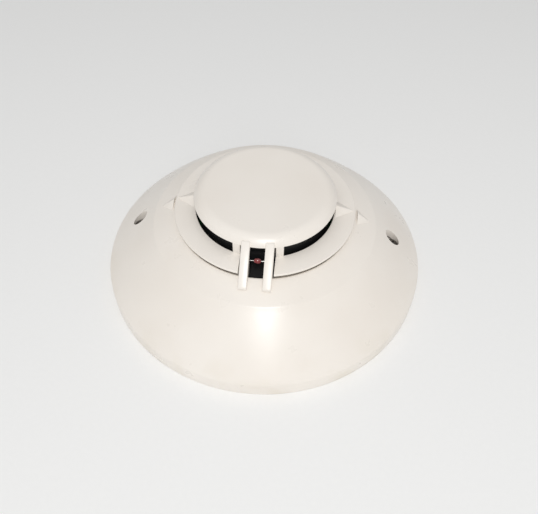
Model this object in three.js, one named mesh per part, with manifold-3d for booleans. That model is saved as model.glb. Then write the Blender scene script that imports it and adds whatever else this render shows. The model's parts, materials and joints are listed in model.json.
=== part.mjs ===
// A plug-in heat detector: a round head with a caged thermistor, twisted into a flanged ceiling base.
// Millimetres. The origin is the centre of the base's ceiling face and +Z points into the room,
// so the detector lies on its back, as on a bench. The thermistor cage faces -Y.
import * as THREE from "three";
import { ConvexGeometry } from "three/addons/geometries/ConvexGeometry.js";
import { mergeVertices } from "three/addons/utils/BufferGeometryUtils.js";
import Module from "manifold-3d";

const wasm = await Module();
wasm.setup();

// ---- Driving dimensions ----
const gap = 0.3; // between two pieces that touch or rest on each other
const roundSteps = 64; // facets round the large shells
const smallSteps = 16; // facets round screws, dials and wires

const base = {
  rimRadius: 77.5,
  rimHeight: 6.8, // straight part of the rim
  rimRound: 3.0,
  wall: 2.2,
  ridgeRadius: 53.5, // where the cone meets the plateau
  ridgeHeight: 30.5,
  plateauRise: 4.6, // from the ridge to the well's mouth
  wellRadius: 41.0,
  floor: 3.5,
  cableRadius: 18.0,
  ribCount: 8,
  ribThickness: 1.6,
};
const fixing = { offset: 62.0, bossRadius: 6.0, headBore: 3.7, shankBore: 2.2, seatHeight: 16.5 };
const fixingScrew = { headRadius: 3.3, headHeight: 2.4, shankRadius: 1.7, tipHeight: 0.8 };
const terminal = {
  angles: [60, 120, 240, 300],
  bladeRadius: 30.0, // centre line of the blades and clips
  bladeThickness: 0.8,
  bladeHalfAngle: 7.6,
  tangHalf: 1.3,
  clipHalfAngle: 6.0,
  leafThickness: 0.5,
  leafClearance: 0.4,
  leafTop: 9.0,
  sheet: 0.6,
  plate: 0.8,
  screwRadius: 36.0,
  screwShank: 1.6,
  screwHead: 2.9,
  screwHeadHeight: 2.2,
  tabWidth: 6.4,
};
const bayonet = {
  angles: [30, 150, 270],
  lugHalfAngle: 7,
  lugLift: 2.2,
  height: 2.1,
  reach: 2.0,
  running: 0.4,
};
const head = {
  radius: 38.6,
  wall: 2.0,
  bottom: 10.5,
  floor: 2.0,
  switchRoom: 5.5, // from the floor up to the board's ledge
  ledgeWidth: 2.0,
  rimDrop: 7.5, // from the well's mouth down to the housing's rim
};
const board = { thickness: 1.6, clearance: 0.4, screwInset: 5.0, pillarRadius: 2.8, pilotRadius: 1.2 };
const dial = { offset: 8.0, radius: 3.4, running: 0.35, bodySide: 9.4, headroom: 2.3 };
const shroud = { wall: 1.3, clearance: 0.5, drop: 0.8 };
const collar = { radius: 42.3, lift: 1.8, edgeThickness: 1.2, rise: 0.4, overlap: 0.6, thickness: 2.0 };
const cap = { radius: 33.0, slotHeight: 6.1, depth: 4.1, shoulder: 6.5, wall: 2.2, crown: 0.3 };
const cage = {
  gapHalf: 3.3, // half the clear width between the two ribs
  ribThickness: 3.8,
  notchClearance: 0.6,
  postWidth: 3.3,
  footReach: 47.3, // how far the ribs' feet stand out from the axis
};
const sensor = {
  stand: 1.2, // out from the cap's edge
  drop: 6.8, // down from the cap's lower edge
  beadRadius: 1.15,
  beadLength: 3.4,
  wireRadius: 0.28,
  wireOffset: 4.2,
};
const mark = {
  baseWidth: 9.6,
  baseInset: 2.4,
  baseLength: 6.2,
  collarWidth: 11.0,
  collarEnd: 0.9,
  height: 2.4,
  tipHeight: 0.3,
};

// ---- Sizes that follow from them ----
const coneRise = base.ridgeHeight - base.rimHeight - base.rimRound;
const coneSlope = coneRise / (base.rimRadius - 1.4 - base.ridgeRadius);
const plateauTop = base.ridgeHeight + 0.9 + base.plateauRise;
const floorTop = head.bottom + head.floor;
const ledgeTop = floorTop + head.switchRoom;
const boardBottom = ledgeTop + gap;
const boardTop = boardBottom + board.thickness;
const partsFloor = boardTop + gap; // the underside of what stands on the board
const rimTop = plateauTop - head.rimDrop;
const coverBottom = rimTop + gap;
const collarLow = plateauTop + collar.lift;
const collarEdgeTop = collarLow + collar.edgeThickness;
const collarTop = collarEdgeTop + collar.rise;
const collarInner = cap.radius - collar.overlap;
const capLow = collarTop + cap.slotHeight;
const capTop = capLow + cap.depth;
const shroudRadius = cap.radius - cap.wall - shroud.clearance;
const shroudInner = shroudRadius - shroud.wall;
const shroudTop = capLow - shroud.drop;
const screwRing = shroudInner - board.screwInset;
const sensorReach = cap.radius + sensor.stand;
const sensorHeight = capLow - sensor.drop;
const notchHalf = cage.gapHalf + cage.ribThickness + cage.notchClearance;
const lugBottom = head.bottom + bayonet.lugLift;
const hookBottom = lugBottom + bayonet.height + gap;

const plastic = (color, roughness) => new THREE.MeshStandardMaterial({ color, roughness, metalness: 0 });
const metal = (color, roughness) => new THREE.MeshStandardMaterial({ color, roughness, metalness: 1 });
const finishes = {
  ivory: plastic(0xf1ede6, 0.35),
  black: plastic(0x0c0c0d, 0.7),
  zinc: metal(0xb9bcc0, 0.35),
  brass: metal(0xc9b27a, 0.3),
  tinned: metal(0xc8c8c6, 0.25),
  board: plastic(0x1d5a34, 0.5),
  glass: plastic(0xb0433a, 0.1),
  acrylic: plastic(0xe8eef0, 0.08),
  ledRed: plastic(0xd8d2c8, 0.3),
};

// ---- Solids ----
// Turns a closed three.js geometry into a solid, without its seams and its collapsed triangles.
function solid(geometry) {
  geometry.deleteAttribute("normal");
  geometry.deleteAttribute("uv");
  const merged = mergeVertices(geometry, 1e-4);
  const corners = Array.from(merged.index ? merged.index.array : merged.attributes.position.array.keys());
  const kept = [];
  for (let i = 0; i < corners.length; i += 3) {
    const [a, b, c] = corners.slice(i, i + 3);
    if (a !== b && b !== c && a !== c) kept.push(a, b, c);
  }
  const vertProperties = new Float32Array(merged.attributes.position.array);
  return new wasm.Manifold(new wasm.Mesh({ numProp: 3, vertProperties, triVerts: new Uint32Array(kept) }));
}

// A named mesh of a solid, added to the group.
const detector = new THREE.Group();
function addNode(name, made, finish) {
  const { vertProperties, triVerts } = made.getMesh();
  const geometry = new THREE.BufferGeometry();
  geometry.setAttribute("position", new THREE.BufferAttribute(new Float32Array(vertProperties), 3));
  geometry.setIndex(new THREE.BufferAttribute(new Uint32Array(triVerts), 1));
  geometry.computeVertexNormals();
  const mesh = new THREE.Mesh(geometry, finish);
  mesh.name = name;
  detector.add(mesh);
}

// Points [radius, height] round the Z axis. The outline closes on itself.
function revolve(outline, steps = roundSteps) {
  const area = outline.reduce((sum, [r, z], i) => {
    const [r2, z2] = outline[(i + 1) % outline.length];
    return sum + r * z2 - r2 * z;
  }, 0);
  const points = (area > 0 ? outline : [...outline].reverse()).map(([r, z]) => new THREE.Vector2(r, z));
  points.push(points[0].clone());
  return solid(new THREE.LatheGeometry(points, steps).rotateX(Math.PI / 2));
}

const radians = (degrees) => (degrees * Math.PI) / 180;

// Points of a quarter round between two directions, given in degrees, about [r, z].
function arc([r, z], radius, from, to, steps = 4) {
  return Array.from({ length: steps + 1 }, (_, i) => {
    const t = radians(from + ((to - from) * i) / steps);
    return [r + radius * Math.cos(t), z + radius * Math.sin(t)];
  });
}

function prism(shape, bottom, top, curveSegments = 8) {
  const depth = top - bottom;
  const made = new THREE.ExtrudeGeometry(shape, { depth, bevelEnabled: false, curveSegments });
  return solid(made.translate(0, 0, bottom));
}

// A part of a ring between two angles in degrees.
function sector(inner, outer, from, to, bottom, top, curveSegments = 6) {
  const shape = new THREE.Shape();
  shape.absarc(0, 0, outer, radians(from), radians(to), false);
  shape.absarc(0, 0, inner, radians(to), radians(from), true);
  return prism(shape, bottom, top, curveSegments);
}

function box(low, high) {
  const [x, y, z] = [0, 1, 2].map((k) => high[k] - low[k]);
  const centre = [0, 1, 2].map((k) => (low[k] + high[k]) / 2);
  return solid(new THREE.BoxGeometry(x, y, z).translate(...centre));
}

// An upright round rod at [x, y].
function rod(radius, bottom, top, [x, y] = [0, 0], steps = smallSteps, topRadius = radius) {
  const made = new THREE.CylinderGeometry(topRadius, radius, top - bottom, steps).rotateX(Math.PI / 2);
  return solid(made.translate(x, y, (bottom + top) / 2));
}

const turned = (made, degrees) => made.rotate([0, 0, degrees]);
const joined = (made) => made.reduce((all, next) => all.add(next));
const around = (radius, degrees) => {
  return [radius * Math.cos(radians(degrees)), radius * Math.sin(radians(degrees))];
};

// A cross-recessed pan-head screw, head up.
function panScrew({ seat, headRadius, headHeight, shankRadius, tip }) {
  const crown = headHeight * 0.35;
  const top = seat + headHeight;
  const screwHead = revolve(
    [
      [0, seat],
      [headRadius, seat],
      [headRadius, top - crown],
      [headRadius * 0.72, top - crown * 0.2],
      [0, top],
    ],
    smallSteps,
  );
  const arm = headRadius * 0.55;
  const slot = headRadius * 0.13;
  const depth = top - headHeight * 0.55;
  const bar = box([-arm, -slot, depth], [arm, slot, top + 1]);
  const cross = bar.add(turned(bar, 90));
  return screwHead.add(rod(shankRadius, tip, seat + 0.2, [0, 0], smallSteps)).subtract(cross);
}

// ---- Flanged base ----
const coneTop = (radius) => base.ridgeHeight - (radius - base.ridgeRadius) * coneSlope;
const rimInner = base.rimRadius - base.wall;

// The plateau slopes up from the ridge's round to the well's mouth.
const ridgeRound = arc([base.ridgeRadius - 2.2, base.ridgeHeight - 2.2], 3.1, 42, 65, 3);
const [plateauEnd, plateauLow] = ridgeRound[ridgeRound.length - 1];
const plateauStart = base.wellRadius + 1.2;
const plateauSlope = (plateauTop - plateauLow) / (plateauEnd - plateauStart);
const plateauAt = (radius) => plateauTop - (radius - plateauStart) * plateauSlope;

// The skirt's outer face from the rim's foot to the well's mouth.
const skirtOutside = [
  [base.rimRadius - 0.3, 0],
  [base.rimRadius, 0.6],
  ...arc([base.rimRadius - base.rimRound, base.rimHeight], base.rimRound, 0, 46, 3),
  ...ridgeRound,
  [plateauStart, plateauTop],
  [base.wellRadius + 0.3, plateauTop - 0.3],
  [base.wellRadius, plateauTop - 1.2],
];
const skirtInside = [
  [base.wellRadius + base.wall, plateauTop - base.wall],
  [base.ridgeRadius - 2, base.ridgeHeight - base.wall],
  [rimInner - 0.6, coneTop(rimInner - 0.6) - base.wall * 1.4],
  [rimInner, base.rimHeight - 2],
];

function skirtAndWell() {
  return revolve([
    ...skirtOutside,
    [base.wellRadius, base.floor],
    [base.cableRadius, base.floor],
    [base.cableRadius, 0],
    [base.wellRadius + base.wall, 0],
    ...skirtInside,
    [rimInner, 0],
  ]);
}

// The hollow under the skirt, reaching half way into its wall, which trims what stands in it.
function underSkirt() {
  const [mouth, ...slope] = skirtInside.map(([r, z]) => [r, z + base.wall / 2]);
  const inner = base.wellRadius + base.wall / 2;
  const outer = rimInner + 0.5;
  return revolve([[inner, 0], [inner, mouth[1]], ...slope, [outer, base.rimHeight - 2], [outer, 0]]);
}

// A rib from the well's wall to the rim, along +X.
function radialRib(top) {
  return box([base.wellRadius, -base.ribThickness / 2, 1.0], [base.rimRadius, base.ribThickness / 2, top]);
}

function mountingBase() {
  const hollow = underSkirt();
  const ribs = Array.from({ length: base.ribCount }, (_, i) => {
    return turned(radialRib(plateauTop), ((i + 0.5) * 360) / base.ribCount);
  });
  const sides = [-1, 1];
  const bosses = sides.map((side) => {
    const boss = rod(fixing.bossRadius, 0, fixing.seatHeight, [side * fixing.offset, 0], 24);
    return boss.add(turned(radialRib(fixing.seatHeight), side < 0 ? 180 : 0));
  });
  const hooks = bayonet.angles.map((angle) => {
    const inner = base.wellRadius - bayonet.reach + gap;
    const outer = base.wellRadius + 0.5;
    const half = bayonet.lugHalfAngle + 1;
    const top = hookBottom + bayonet.height;
    const shelf = sector(inner, outer, angle - half, angle + half, hookBottom, top);
    const stop = sector(inner, outer, angle - half - 3, angle - half, lugBottom - gap, top, 3);
    return shelf.add(stop);
  });
  const markInner = base.wellRadius + mark.baseInset;
  const markOuter = markInner + mark.baseLength;
  const markEnds = [markInner, markOuter].map((radius) => [radius, plateauAt(radius)]);
  const pointed = pointer(...markEnds, mark.baseWidth);
  const marks = [0, 180].map((angle) => turned(pointed, angle));
  const holes = sides.flatMap((side) => [
    rod(fixing.headBore, fixing.seatHeight, plateauTop, [side * fixing.offset, 0], 24),
    rod(fixing.shankBore, -1, plateauTop, [side * fixing.offset, 0], smallSteps),
  ]);
  const shankHole = terminal.screwShank + gap;
  const terminalHoles = terminal.angles.map((angle) => {
    return rod(shankHole, -1, base.floor + 1, around(terminal.screwRadius, angle));
  });
  const stiffening = joined([...ribs, ...bosses]).intersect(hollow);
  const whole = joined([skirtAndWell(), stiffening, ...hooks, ...marks]);
  return whole.subtract(joined([...holes, ...terminalHoles]));
}

// A raised three-cornered pointer along +X, on a surface given at its broad inner end and at its tip.
function pointer([inner, innerSurface], [outer, outerSurface], width) {
  const sunk = 1.0;
  const corners = [
    [inner, -width / 2, innerSurface],
    [inner, width / 2, innerSurface],
    [outer, 0, outerSurface + mark.tipHeight],
    [inner, 0, innerSurface + mark.height],
    [inner, -width / 2, innerSurface - sunk],
    [inner, width / 2, innerSurface - sunk],
    [outer, 0, outerSurface - sunk],
  ];
  return solid(new ConvexGeometry(corners.map((c) => new THREE.Vector3(...c))));
}

addNode("mounting_base", mountingBase(), finishes.ivory);

[
  ["left", -1],
  ["right", 1],
].forEach(([side, sign]) => {
  const screw = panScrew({
    seat: fixing.seatHeight + gap,
    headRadius: fixingScrew.headRadius,
    headHeight: fixingScrew.headHeight,
    shankRadius: fixingScrew.shankRadius,
    tip: fixingScrew.tipHeight,
  });
  addNode(`fixing_screw_${side}`, screw.translate([sign * fixing.offset, 0, 0]), finishes.zinc);
});

// ---- Terminals: a clip, a clamp plate and a screw at each, and the head's blade in the clip ----
const clipBottom = base.floor + gap;
const plateBottom = clipBottom + terminal.sheet + gap;
const bladeInner = terminal.bladeRadius - terminal.bladeThickness / 2;
const bladeOuter = terminal.bladeRadius + terminal.bladeThickness / 2;
const leafInner = bladeInner - terminal.leafClearance;
const leafOuter = bladeOuter + terminal.leafClearance;
const plateTop = plateBottom + terminal.plate;

function contactClip() {
  const half = terminal.clipHalfAngle;
  const start = leafInner - terminal.leafThickness;
  const end = terminal.screwRadius + terminal.tabWidth / 2 + 0.2;
  const tab = terminal.tabWidth / 2;
  const innerLeaf = sector(start, leafInner, -half, half, clipBottom, terminal.leafTop, 4);
  const outerEnd = leafOuter + terminal.leafThickness;
  const outerLeaf = sector(leafOuter, outerEnd, -half, half, clipBottom, terminal.leafTop, 4);
  const web = box([start + 0.2, -tab, clipBottom], [end, tab, clipBottom + terminal.sheet]);
  const hole = rod(terminal.screwShank + gap, 0, 9, [terminal.screwRadius, 0]);
  return joined([innerLeaf, outerLeaf, web]).subtract(hole);
}

function clampPlate() {
  const half = terminal.tabWidth / 2;
  const low = [terminal.screwRadius - half, -half, plateBottom];
  const high = [terminal.screwRadius + half, half, plateTop];
  return box(low, high).subtract(rod(terminal.screwShank + gap, 0, 12, [terminal.screwRadius, 0]));
}

function contactBlade() {
  const bottom = clipBottom + terminal.sheet + 0.8;
  const half = terminal.bladeHalfAngle;
  const plate = sector(bladeInner, bladeOuter, -half, half, bottom, head.bottom - gap, 5);
  const tang = box(
    [bladeInner, -terminal.tangHalf, head.bottom - 1],
    [bladeOuter, terminal.tangHalf, boardBottom - gap],
  );
  return plate.add(tang);
}

terminal.angles.forEach((angle, i) => {
  const number = i + 1;
  addNode(`contact_clip_${number}`, turned(contactClip(), angle), finishes.brass);
  addNode(`clamp_plate_${number}`, turned(clampPlate(), angle), finishes.zinc);
  const screw = panScrew({
    seat: plateTop + gap,
    headRadius: terminal.screwHead,
    headHeight: terminal.screwHeadHeight,
    shankRadius: terminal.screwShank,
    tip: 0.8,
  });
  const placed = turned(screw.translate([terminal.screwRadius, 0, 0]), angle);
  addNode(`terminal_screw_${number}`, placed, finishes.zinc);
  addNode(`contact_blade_${number}`, turned(contactBlade(), angle), finishes.tinned);
});

// ---- Head: housing, circuit board and what it carries ----
const housingInner = head.radius - head.wall;
const ledgeInner = housingInner - head.ledgeWidth;
const boardScrewAngles = [90, 210, 330];

function headHousing() {
  const cup = revolve([
    [0, head.bottom],
    [head.radius - 0.8, head.bottom],
    [head.radius, head.bottom + 0.8],
    [head.radius, rimTop],
    [housingInner, rimTop],
    [housingInner, ledgeTop],
    [ledgeInner, ledgeTop],
    [ledgeInner, floorTop],
    [0, floorTop],
  ]);
  const lugs = bayonet.angles.map((angle) => {
    const reach = base.wellRadius - bayonet.running;
    const half = bayonet.lugHalfAngle;
    return sector(head.radius - 1, reach, angle - half, angle + half, lugBottom, lugBottom + bayonet.height);
  });
  const pillars = boardScrewAngles.map((angle) => {
    return rod(board.pillarRadius, head.bottom + 1, ledgeTop, around(screwRing, angle));
  });
  const tangHole = terminal.tangHalf + gap;
  const bladeSlot = box(
    [bladeInner - gap, -tangHole, head.bottom - 1],
    [bladeOuter + gap, tangHole, floorTop + 2],
  );
  const bladeSlots = terminal.angles.map((angle) => turned(bladeSlot, angle));
  const dialHoles = [-1, 1].map((side) => {
    return rod(dial.radius + dial.running, head.bottom - 1, floorTop + 1, [side * dial.offset, 0], 24);
  });
  const screwHoles = boardScrewAngles.map((angle) => {
    return rod(board.pilotRadius, ledgeTop - 4.5, ledgeTop + 1, around(screwRing, angle));
  });
  return joined([cup, ...lugs, ...pillars]).subtract(joined([...bladeSlots, ...dialHoles, ...screwHoles]));
}
addNode("head_housing", headHousing(), finishes.ivory);

const boardHoles = boardScrewAngles.map((angle) => {
  return rod(board.pilotRadius, boardBottom - 1, boardTop + 1, around(screwRing, angle));
});
const boardDisc = rod(housingInner - board.clearance, boardBottom, boardTop, [0, 0], roundSteps);
addNode("circuit_board", boardDisc.subtract(joined(boardHoles)), finishes.board);

boardScrewAngles.forEach((angle, i) => {
  const screw = panScrew({
    seat: partsFloor,
    headRadius: 2.2,
    headHeight: 1.6,
    shankRadius: board.pilotRadius - gap,
    tip: ledgeTop - 4,
  });
  const [x, y] = around(screwRing, angle);
  addNode(`board_screw_${i + 1}`, screw.translate([x, y, 0]), finishes.zinc);
});

// The two decade switches of the detector's address, with dials that are turned from the back.
[
  ["tens", -1],
  ["ones", 1],
].forEach(([decade, side]) => {
  const centre = [side * dial.offset, 0];
  const half = dial.bodySide / 2 - 1.2;
  const bottom = floorTop + gap;
  const dialBottom = head.bottom + gap;
  const dialTop = boardBottom - dial.headroom;
  const body = box([centre[0] - half, -half, bottom], [centre[0] + half, half, boardBottom - gap]).add(
    rod(dial.bodySide / 2, bottom, boardBottom - gap, centre, 24),
  );
  const recess = rod(dial.radius + dial.running, 0, dialTop + gap, centre, 24);
  addNode(`address_switch_${decade}`, body.subtract(recess), finishes.black);
  const slot = box([centre[0] - 2.4, -0.4, 0], [centre[0] + 2.4, 0.4, dialBottom + 0.8]);
  const arrow = box([centre[0] + 1.4, -1.0, 0], [centre[0] + 2.2, 1.0, dialBottom + 0.8]);
  const turner = rod(dial.radius, dialBottom, dialTop, centre, 24).subtract(slot.add(arrow));
  addNode(`address_dial_${decade}`, turner, finishes.ivory);
});

// What stands on the board inside the shroud.
addNode("microcontroller", box([-12.5, -8.5, partsFloor], [-3.5, 0.5, partsFloor + 1.6]), finishes.black);
addNode("line_capacitor", rod(3.2, partsFloor, partsFloor + 8, [9, 9], 20), finishes.black);
addNode("timing_crystal", box([1, -8, partsFloor], [5, 2, partsFloor + 3.4]), finishes.tinned);
addNode("surge_suppressor", box([11, -6, partsFloor], [16, -3, partsFloor + 2.4]), finishes.black);
const reedTube = new THREE.CapsuleGeometry(1.1, 11, 4, 12).rotateZ(Math.PI / 2);
reedTube.translate(-4, 13, partsFloor + 1.3);
addNode("reed_switch", solid(reedTube), finishes.acrylic);

// The shroud closes off the middle of the head behind the air slots.
const shroudOutline = [
  [shroudInner, partsFloor],
  [shroudRadius, partsFloor],
  ...arc([shroudRadius - 1, shroudTop - 1], 1, 0, 90, 3),
  [0, shroudTop],
  [0, shroudTop - shroud.wall],
  [shroudInner, shroudTop - shroud.wall],
];
addNode("inner_shroud", revolve(shroudOutline), finishes.black);

// Two light guides carry the status lamps' light up to the air slots at the back of the head.
const guideInner = shroudRadius + gap;
const guideOuter = collarInner - 0.4;
[
  ["left", 150],
  ["right", 30],
].forEach(([side, angle]) => {
  const lampTop = partsFloor + 1.1;
  const lamp = sector(guideInner, guideOuter, angle - 2, angle + 2, partsFloor, lampTop, 3);
  addNode(`status_led_${side}`, lamp, finishes.ledRed);
  const guide = sector(guideInner, guideOuter, angle - 3.5, angle + 3.5, lampTop + gap, capLow - 1.6, 3);
  addNode(`light_guide_${side}`, guide, finishes.acrylic);
});

// ---- Thermistor in the cage ----
const carrierTop = sensorHeight + 2.6;
const carrierBack = -shroudRadius - 0.5;
const carrierFront = -sensorReach + sensor.wireRadius + gap;
const carrierHalf = notchHalf - gap;
const carrierWall = box(
  [-carrierHalf, carrierBack - 0.9, partsFloor],
  [carrierHalf, carrierBack, carrierTop],
);
const carrierCheeks = [-1, 1].map((side) => {
  const [near, far] = [side * (sensor.wireOffset - 0.6), side * (sensor.wireOffset + 1.4)];
  const [low, high] = [Math.min(near, far), Math.max(near, far)];
  return box([low, carrierFront, partsFloor], [high, carrierBack, carrierTop]);
});
// The sill reaches out between the ribs and darkens the foot of the cage.
const sillHalf = cage.gapHalf - gap;
const carrierSill = box(
  [-sillHalf, -base.wellRadius + 0.8, rimTop + gap],
  [sillHalf, carrierBack - 0.5, plateauTop - 1.0],
);
addNode("thermistor_carrier", joined([carrierWall, ...carrierCheeks, carrierSill]), finishes.black);

const bead = new THREE.CapsuleGeometry(sensor.beadRadius, sensor.beadLength - 2 * sensor.beadRadius, 5, 14);
bead.rotateZ(Math.PI / 2).translate(0, -sensorReach, sensorHeight);
addNode("thermistor_bead", solid(bead), finishes.glass);

// Each lead leaves the bead sideways, turns down in front of its cheek and ends at the board.
[
  ["left", -1],
  ["right", 1],
].forEach(([side, sign]) => {
  const y = -sensorReach;
  const bend = 1.2;
  const start = new THREE.Vector3(sign * (sensor.beadLength / 2 + gap), y, sensorHeight);
  const corner = new THREE.Vector3(sign * sensor.wireOffset, y, sensorHeight);
  const before = new THREE.Vector3(sign * (sensor.wireOffset - bend), y, sensorHeight);
  const after = new THREE.Vector3(sign * sensor.wireOffset, y, sensorHeight - bend);
  const foot = new THREE.Vector3(sign * sensor.wireOffset, y, partsFloor);
  const route = new THREE.CurvePath();
  route.add(new THREE.LineCurve3(start, before));
  route.add(new THREE.QuadraticBezierCurve3(before, corner, after));
  route.add(new THREE.LineCurve3(after, foot));
  const section = new THREE.Shape().absarc(0, 0, sensor.wireRadius, 0, 2 * Math.PI);
  const lead = new THREE.ExtrudeGeometry(section, { extrudePath: route, steps: 24, curveSegments: 4 });
  addNode(`thermistor_lead_${side}`, solid(lead), finishes.tinned);
});

// ---- Cover: collar, cap, posts and the cage's ribs in one moulding ----
const spigotOuter = housingInner - gap;
const spigotInner = spigotOuter - 1.4;

function collarRing() {
  return revolve([
    [spigotInner, coverBottom - 4],
    [spigotOuter, coverBottom - 4],
    [spigotOuter, coverBottom],
    [head.radius, coverBottom],
    [head.radius, collarLow - 0.9],
    [collar.radius - 0.2, collarLow],
    [collar.radius, collarEdgeTop - 0.4],
    [collar.radius - 0.4, collarEdgeTop],
    [collarInner + 0.3, collarTop],
    [collarInner, collarTop - 0.3],
    [collarInner, collarTop - collar.thickness],
    [spigotInner, collarTop - collar.thickness - 0.6],
  ]);
}

// The cap's broad shoulder: an arc from its flat top (90 degrees) down to its lower edge.
const shoulderStart = THREE.MathUtils.radToDeg(Math.asin(1 - cap.depth / cap.shoulder));
const shoulderMiddle = cap.radius - cap.shoulder * Math.cos(radians(shoulderStart));

function capDisc() {
  const inner = cap.radius - cap.wall;
  const ceiling = capTop - cap.wall;
  return revolve([
    [0, capTop + cap.crown],
    [shoulderMiddle * 0.6, capTop + cap.crown * 0.7],
    ...arc([shoulderMiddle, capTop - cap.shoulder], cap.shoulder, 90, shoulderStart, 6),
    [inner, capLow],
    [inner, capLow + 0.3],
    [inner - cap.shoulder / 2, ceiling],
    [0, ceiling],
  ]);
}

// One rib stands on edge in a plane across X. Its outline is [reach from the axis, height].
function cageRib() {
  const footHeight = plateauAt(cage.footReach) + gap + 0.1;
  const [[crestReach, crestHeight]] = arc([shoulderMiddle, capTop - cap.shoulder], cap.shoulder, 50, 90, 1);
  const outline = [
    [cap.radius - cap.wall + 0.4, capLow + 0.6],
    [crestReach - 0.6, crestHeight - 1.0],
    [crestReach, crestHeight],
    [cage.footReach, footHeight + 1.4],
    [cage.footReach - 0.2, footHeight],
    [plateauStart, plateauTop + gap + 0.1],
    [base.wellRadius + 0.2, plateauTop + gap + 0.1],
    [base.wellRadius - 1.6, plateauTop - 1.2],
    [head.radius, coverBottom],
    [housingInner, coverBottom],
    [housingInner, coverBottom + 1.6],
    [head.radius - 0.4, coverBottom + 2.4],
    [sensorReach, capLow - 3],
  ];
  const shape = new THREE.Shape(outline.map(([reach, height]) => new THREE.Vector2(reach, height)));
  const flat = new THREE.ExtrudeGeometry(shape, { depth: cage.ribThickness, bevelEnabled: false });
  // The extrusion's x, y and depth become -Y, +Z and -X.
  const upright = new THREE.Matrix4().set(0, 0, -1, 0, -1, 0, 0, 0, 0, 1, 0, 0, 0, 0, 0, 1);
  return solid(flat.applyMatrix4(upright).translate(cage.ribThickness / 2, 0, 0));
}

function detectorCover() {
  const postRadius = (cap.radius + collarInner) / 2;
  const postBottom = collarTop - collar.thickness + 0.4;
  const notchAngle = THREE.MathUtils.radToDeg(Math.asin(notchHalf / postRadius));
  const postAngle = THREE.MathUtils.radToDeg(Math.asin((notchHalf + cage.postWidth) / postRadius));
  const post = (from, to) => sector(cap.radius - cap.wall, cap.radius, from, to, postBottom, capLow + 0.5, 4);
  const posts = [post(-90 + notchAngle, -90 + postAngle), post(-90 - postAngle, -90 - notchAngle)];
  [0, 60, 120, 180].forEach((angle) => posts.push(post(angle - 3, angle + 3)));
  const markOuter = collar.radius - mark.collarEnd;
  const pointed = pointer([collarInner + 0.4, collarTop], [markOuter, collarEdgeTop], mark.collarWidth);
  const marks = [0, 180].map((angle) => turned(pointed, angle));
  const notch = box([-notchHalf, -60, coverBottom + 1.6], [notchHalf, -20, capLow]);
  const spigotGap = box([-notchHalf, -60, coverBottom - 5], [notchHalf, -20, coverBottom]);
  const leadRoom = box([-notchHalf, -housingInner + 0.6, coverBottom - 1], [notchHalf, -20, coverBottom + 2]);
  const sillRoom = box([-cage.gapHalf, -60, coverBottom - 5], [cage.gapHalf, -20, capLow]);
  const ribCentre = cage.gapHalf + cage.ribThickness / 2;
  const ribs = [-1, 1].map((side) => cageRib().translate([side * ribCentre, 0, 0]));
  const ring = joined([collarRing(), ...marks]).subtract(joined([notch, spigotGap, leadRoom, sillRoom]));
  return joined([ring, capDisc(), ...posts, ...ribs]);
}
addNode("detector_cover", detectorCover(), finishes.ivory);

export default detector;
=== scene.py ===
"""Looks of a plug-in heat detector: a capped head with a caged thermistor, in a flanged ceiling base."""

import json
import logging
import math
from dataclasses import dataclass
from enum import Enum
from typing import Any, Iterable, Sequence

import bmesh
import bpy
from mathutils import Matrix, Vector


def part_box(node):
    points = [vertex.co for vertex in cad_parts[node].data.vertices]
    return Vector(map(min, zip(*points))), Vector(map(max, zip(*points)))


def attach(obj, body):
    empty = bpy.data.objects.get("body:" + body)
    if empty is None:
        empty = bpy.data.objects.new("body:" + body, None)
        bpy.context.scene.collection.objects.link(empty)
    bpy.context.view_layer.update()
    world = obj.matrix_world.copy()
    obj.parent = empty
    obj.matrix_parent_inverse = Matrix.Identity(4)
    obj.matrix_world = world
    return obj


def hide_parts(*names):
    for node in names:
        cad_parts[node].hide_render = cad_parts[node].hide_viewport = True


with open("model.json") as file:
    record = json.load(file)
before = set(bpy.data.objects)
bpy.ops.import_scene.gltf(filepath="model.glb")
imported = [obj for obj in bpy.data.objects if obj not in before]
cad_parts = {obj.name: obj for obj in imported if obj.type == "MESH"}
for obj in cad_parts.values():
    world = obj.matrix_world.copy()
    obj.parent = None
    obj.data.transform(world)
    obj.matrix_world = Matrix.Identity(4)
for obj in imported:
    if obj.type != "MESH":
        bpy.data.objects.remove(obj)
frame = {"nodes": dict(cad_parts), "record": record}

MM = 0.001
log = logging.getLogger("heat_detector")
Tree, Socket, Node = bpy.types.NodeTree, bpy.types.NodeSocket, bpy.types.Node
Piece, Material = bpy.types.Object, bpy.types.Material
Pair = tuple[float, float]
Outline = Sequence[Pair]
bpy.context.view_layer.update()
LOW, HIGH = 0, 1


def reach(node: str, corner: int, axis: str) -> float:
    """Where a frame node ends along an axis, in millimetres.

    Args:
        node: the frame node's name.
        corner: LOW or HIGH.
        axis: "x", "y" or "z".

    Returns:
        The coordinate of that side of the node's box.
    """
    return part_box(node)[corner]["xyz".index(axis)] / MM


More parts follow.
